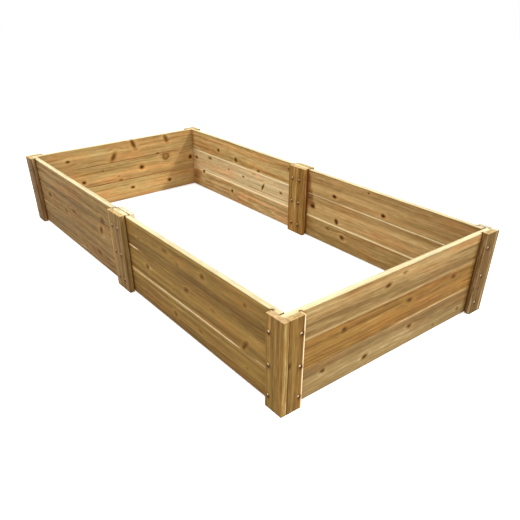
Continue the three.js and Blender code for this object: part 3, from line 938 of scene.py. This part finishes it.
def screwMesh(length):
    # a screw along -Z with its head's face at the origin
    size = screwSizes
    crest, root, head = size["crestRadius"], size["rootRadius"], size["headRadius"]
    ease, start, blunt = size["headEase"], size["threadStart"], size["pointBlunt"]
    tip = length - size["pointLength"]
    neck = [(root + out, size["headHeight"] + down) for out, down in size["neck"]]
    shape = spun([
        (0, 0.0), (head - ease, 0.0), (head - ease / 4, ease / 4), (head, ease),
        (head, size["headRim"]), *neck, (root, tip), (0, length - blunt),
    ], size["segments"])
    body = asMesh(shape, "screwBody")

    # the thread is a small ridge swept down the shank
    turns = (tip - start) / size["threadPitch"]
    half = size["threadPitch"] * size["threadHalf"]
    foot = root - size["threadSink"]
    steps = int(turns * size["stepsPerTurn"])
    thread = bmesh.new()
    ridge = [
        thread.verts.new(spot)
        for spot in ((foot, 0, -start + half), (crest, 0, -start), (foot, 0, -start - half))
    ]
    bmesh.ops.spin(
        thread, geom=[thread.faces.new(ridge)], cent=(0, 0, 0), axis=(0, 0, 1),
        dvec=(0, 0, -(tip - start) / steps), angle=turns * math.tau, steps=steps,
        use_merge=False, use_duplicate=False,
    )
    bmesh.ops.recalc_face_normals(thread, faces=thread.faces)
    body = boolean(body, asMesh(thread, "thread"), "UNION")

    for turn in (0, 90):  # the cross recess
        blade = bmesh.new()
        bmesh.ops.create_cube(blade, size=1)
        bmesh.ops.scale(blade, vec=size["recess"], verts=blade.verts)
        low = [vert for vert in blade.verts if vert.co.z < 0]
        bmesh.ops.scale(blade, vec=size["recessTaper"], verts=low)
        rotation = Matrix.Rotation(math.radians(turn), 3, "Z")
        bmesh.ops.rotate(blade, cent=(0, 0, 0), matrix=rotation, verts=blade.verts)
        body = boolean(body, asMesh(blade, "blade"), "DIFFERENCE")
    return body


def holeShape(length):
    # the countersink, the seat of the head and the hole for the shank
    size = screwSizes
    mouth, sink, rise = size["mouthRadius"], size["headSink"], size["mouthRise"]
    seat = size["headRadius"] + size["clearance"]
    shank = size["crestRadius"] + size["clearance"]
    flare = mouth - size["headRadius"] - size["clearance"]
    easeIn, easeUp = size["mouthEase"]
    return spun([
        (0, -rise), (mouth + flare, -rise), (mouth, -sink),
        (mouth - flare * easeIn, -sink * easeUp), (seat, 0), (seat, size["headRim"]),
        (shank, size["headHeight"] + size["clearance"]), (shank, length), (0, length),
    ], size["holeSegments"])


def facing(direction):
    # turns a shape whose head looks along +Z so that it looks that way
    return Vector(direction).to_track_quat("Z", "Y").to_matrix().to_4x4()


postEdge = {"radius": 0.0024, "segments": 4, "endRadius": 0.0008, "endSegments": 2}


def postMesh(box, screws, outward, holeLength):
    # a board that fills the box, with rounded edges and a hole for each screw
    low, high = box
    shape = bmesh.new()
    bmesh.ops.create_cube(shape, size=1)
    bmesh.ops.scale(shape, vec=high - low, verts=shape.verts)
    bmesh.ops.translate(shape, vec=(low + high) / 2, verts=shape.verts)
    upright = [edge for edge in shape.edges if abs(edge.verts[0].co.z - edge.verts[1].co.z) > 0.1]
    bmesh.ops.bevel(
        shape, geom=upright, offset=postEdge["radius"], segments=postEdge["segments"],
        affect="EDGES", profile=0.5, material=-1,
    )
    ends = [edge for edge in shape.edges if len({round(v.co.z, 5) for v in edge.verts}) == 1]
    bmesh.ops.bevel(
        shape, geom=ends, offset=postEdge["endRadius"], segments=postEdge["endSegments"],
        affect="EDGES", profile=0.5, material=-1,
    )
    cutters = bmesh.new()
    for spot in screws:
        hole = holeShape(holeLength)
        placed = Matrix.Translation(spot) @ facing(outward)
        bmesh.ops.transform(hole, matrix=placed, verts=hole.verts)
        part = asMesh(hole, "hole")
        cutters.from_mesh(part)
        bpy.data.meshes.remove(part)
    mesh = boolean(asMesh(shape, "post"), asMesh(cutters, "holes"), "DIFFERENCE")
    mesh.shade_flat()
    return mesh


steelMaterial = steel()
masters = {kind: screwMesh(length) for kind, length in screwSizes["lengths"].items()}
print("screws modelled:", {kind: len(mesh.polygons) for kind, mesh in masters.items()})

# the looks that each post starts from
postWood = {"creamTone": "sawn", "contrast": 1.15, "knotDark": 0.3, "sides": 0.3, "sideRed": 0.2}
# and the marks on all of them: narrow sides made paler as painted light, a foot that is darker, and
# at each screw a dark mark set below and aside of its head as its painted shadow
postMarks = {
    "sideHalfWidth": 0.001,
    "sideReach": (-0.1, 0.5),
    "foot": (0.0, 9.0, -0.1, 0.003, -0.6, 0.0, 0.006),  # a streak as wide as the post
    "headShadowDrop": 0.0045,
    "headShadowAside": 0.0035,
    "headShadow": (0.0115, 0.0092, 0.0, 1.0, 0.0, 0.0),  # a knot, from its half length on
}


def screwed(wood, heads, outward, box):
    # the wood of a post with its marks; its heads are the middles of its screws' faces
    wood = {**postWood, **wood}
    across = "x" if outward.y else "y"
    # each screw gets a dark mark, shifted below and aside of its head: the head's painted shadow
    drop, aside = postMarks["headShadowDrop"], postMarks["headShadowAside"]
    headShadows = [
        (spot.z - drop, getattr(spot, across) + aside, *postMarks["headShadow"]) for spot in heads
    ]
    # the narrow sides of the board made paler: painted light
    sides = [
        (getattr(corner, across), postMarks["sideHalfWidth"], *postMarks["sideReach"],
         wood["sides"], wood["sideRed"])
        for corner in box
    ]
    wood["knots"] = [*wood.get("knots", ()), *headShadows]
    wood["streaks"] = [*wood.get("streaks", ()), *sides, postMarks["foot"]]
    return wood


def buildPost(name, replaced, outward, box, heads, wood, kind):
    # the board of a post, in the place of its node, with a screw in each of its holes
    mesh = postMesh(box, heads, outward, screwSizes["lengths"][kind])
    order = "postFacingY" if outward.y else "postFacingX"
    material = cedar("cedar_" + replaced, order, screwed(wood, heads, outward, box))
    board = newPiece(name + "_plank", mesh, material)
    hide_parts(replaced)
    for number, spot in enumerate(heads, 1):
        turn = random.uniform(0, math.tau)
        mesh = masters[kind].copy()
        mesh.transform(Matrix.Translation(spot) @ facing(outward) @ Matrix.Rotation(turn, 4, "Z"))
        screw = newPiece(f"{name}_driven_{number}", mesh, steelMaterial)
        if kind == "corner":
            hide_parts(f"{name}_screw_{number}")


random.seed(18)

# each corner board: which way its face looks, and its wood
cornerBoards = {
    "front_right_side": {"outward": (0, -1, 0), "wood": {
        "tone": "olive", "seed": 80.2, "pith": (1.1, -0.52), "shade": 0.91,
        "sides": 0.42, "sideRed": -0.3, "creamTone": "pinkish",
        "streaks": [
            (1.135, 0.012, 0.0, 0.4, -0.12, 0.5), (1.165, 0.01, 0.0, 0.4, 0.12, -0.5),
            (1.19, 0.006, 0.0, 0.4, -0.1, -0.2), (1.205, 0.006, 0.0, 0.4, 0.1, 0.0)]}},
    "front_right_end": {"outward": (1, 0, 0), "wood": {
        "tone": "olive", "seed": 84.9, "pith": (-0.56, 1.12), "shade": 0.9, "sides": 0.0,
        "knots": [(0.215, -0.578, 0.012, 0.007, 0.0, 0.75)],
        "streaks": [
            # the pale line at -0.516 is a painted highlight on the rounded inner edge of the board
            (-0.516, 0.0028, -0.1, 0.5, 2.1, 0.3), (-0.5842, 0.003, -0.1, 0.5, -0.9, 0.3),
            (-0.54, 0.012, 0.0, 0.4, 0.12, 0.5)]}},
    "front_left_side": {"outward": (0, -1, 0), "wood": {
        "tone": "drab", "seed": 88.1, "pith": (-1.15, -0.5), "shade": 0.68,
        "sides": 0.55, "red": 0.4}},
    "front_left_end": {"outward": (-1, 0, 0), "wood": {
        "tone": "drab", "seed": 91.7, "pith": (-0.55, -1.1), "shade": 0.95}},
    "back_right_side": {"outward": (0, 1, 0), "wood": {
        "tone": "drab", "seed": 95.3, "pith": (1.15, 0.5), "shade": 0.75,
        "creamTone": "bleached"}},
    "back_right_end": {"outward": (1, 0, 0), "wood": {
        "tone": "honey", "seed": 99.6, "pith": (0.56, 1.11), "shade": 0.43,
        "sides": 0.65, "contrast": 0.9,
        "knots": [(0.13, 0.545, 0.008, 0.008, 0.0, 0.5)],
        "streaks": [(0.58, 0.012, 0.0, 0.4, 0.3, -0.6), (0.55, 0.004, 0.0, 0.4, -0.3, 0.5)]}},
    "back_left_side": {"outward": (0, 1, 0), "wood": {
        "tone": "drab", "seed": 103.4, "pith": (-1.15, 0.51), "shade": 0.98}},
    "back_left_end": {"outward": (-1, 0, 0), "wood": {
        "tone": "drab", "seed": 107.8, "pith": (0.55, -1.12), "shade": 1.0}},
}

for name, details in cornerBoards.items():
    outward = Vector(details["outward"])
    kept = f"{name}_board"
    heads = []
    for row in range(1, 4):
        low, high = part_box(f"{name}_screw_{row}")
        middle = (low + high) / 2
        reach = (high - low).dot(Vector([abs(part) for part in outward])) / 2
        heads.append(middle + outward * reach)
    buildPost(name, kept, outward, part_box(kept), heads, details["wood"], "corner")
print("corner posts and screws in place")

midPosts = {
    "front_mid_post_outer": {"outward": (0, -1, 0), "wood": {
        "tone": "drab", "seed": 111.5, "pith": (0.02, -0.5), "shade": 1.05,
        "sides": 0.35, "sideRed": -0.2}},
    "front_mid_post_inner": {"outward": (0, 1, 0), "wood": {
        "tone": "sand", "seed": 115.2, "pith": (-0.03, -0.6), "shade": 0.95,
        "creamTone": "bleached", "sides": 2.5}},
    "back_mid_post_outer": {"outward": (0, 1, 0), "wood": {
        "tone": "drab", "seed": 119.4, "pith": (0.03, 0.5), "shade": 1.0}},
    "back_mid_post_inner": {"outward": (0, -1, 0), "wood": {
        "tone": "honey", "seed": 123.9, "pith": (-0.02, 0.64), "shade": 0.94,
        "sides": 0.5, "contrast": 1.4}},
}
midBoard = {
    "thickness": 0.0254,
    "screwColumns": (-0.0365, 0.0205),
    "screwRows": (0.06, 0.195, 0.33),
}

for name, details in midPosts.items():
    outward = Vector(details["outward"])
    low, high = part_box(name)
    if outward.y > 0:  # the box of the node takes in the screws that stand out of its back
        low.y = high.y - midBoard["thickness"]
    else:
        high.y = low.y + midBoard["thickness"]
    face = high.y if outward.y > 0 else low.y
    kind = "outer" if name.endswith("outer") else "inner"
    heads = [
        Vector((column, face - outward.y * screwSizes["headSink"], row))
        for row in midBoard["screwRows"]
        for column in midBoard["screwColumns"]
    ]
    buildPost(name, name, outward, (low, high), heads, details["wood"], kind)
print("middle posts and screws in place")
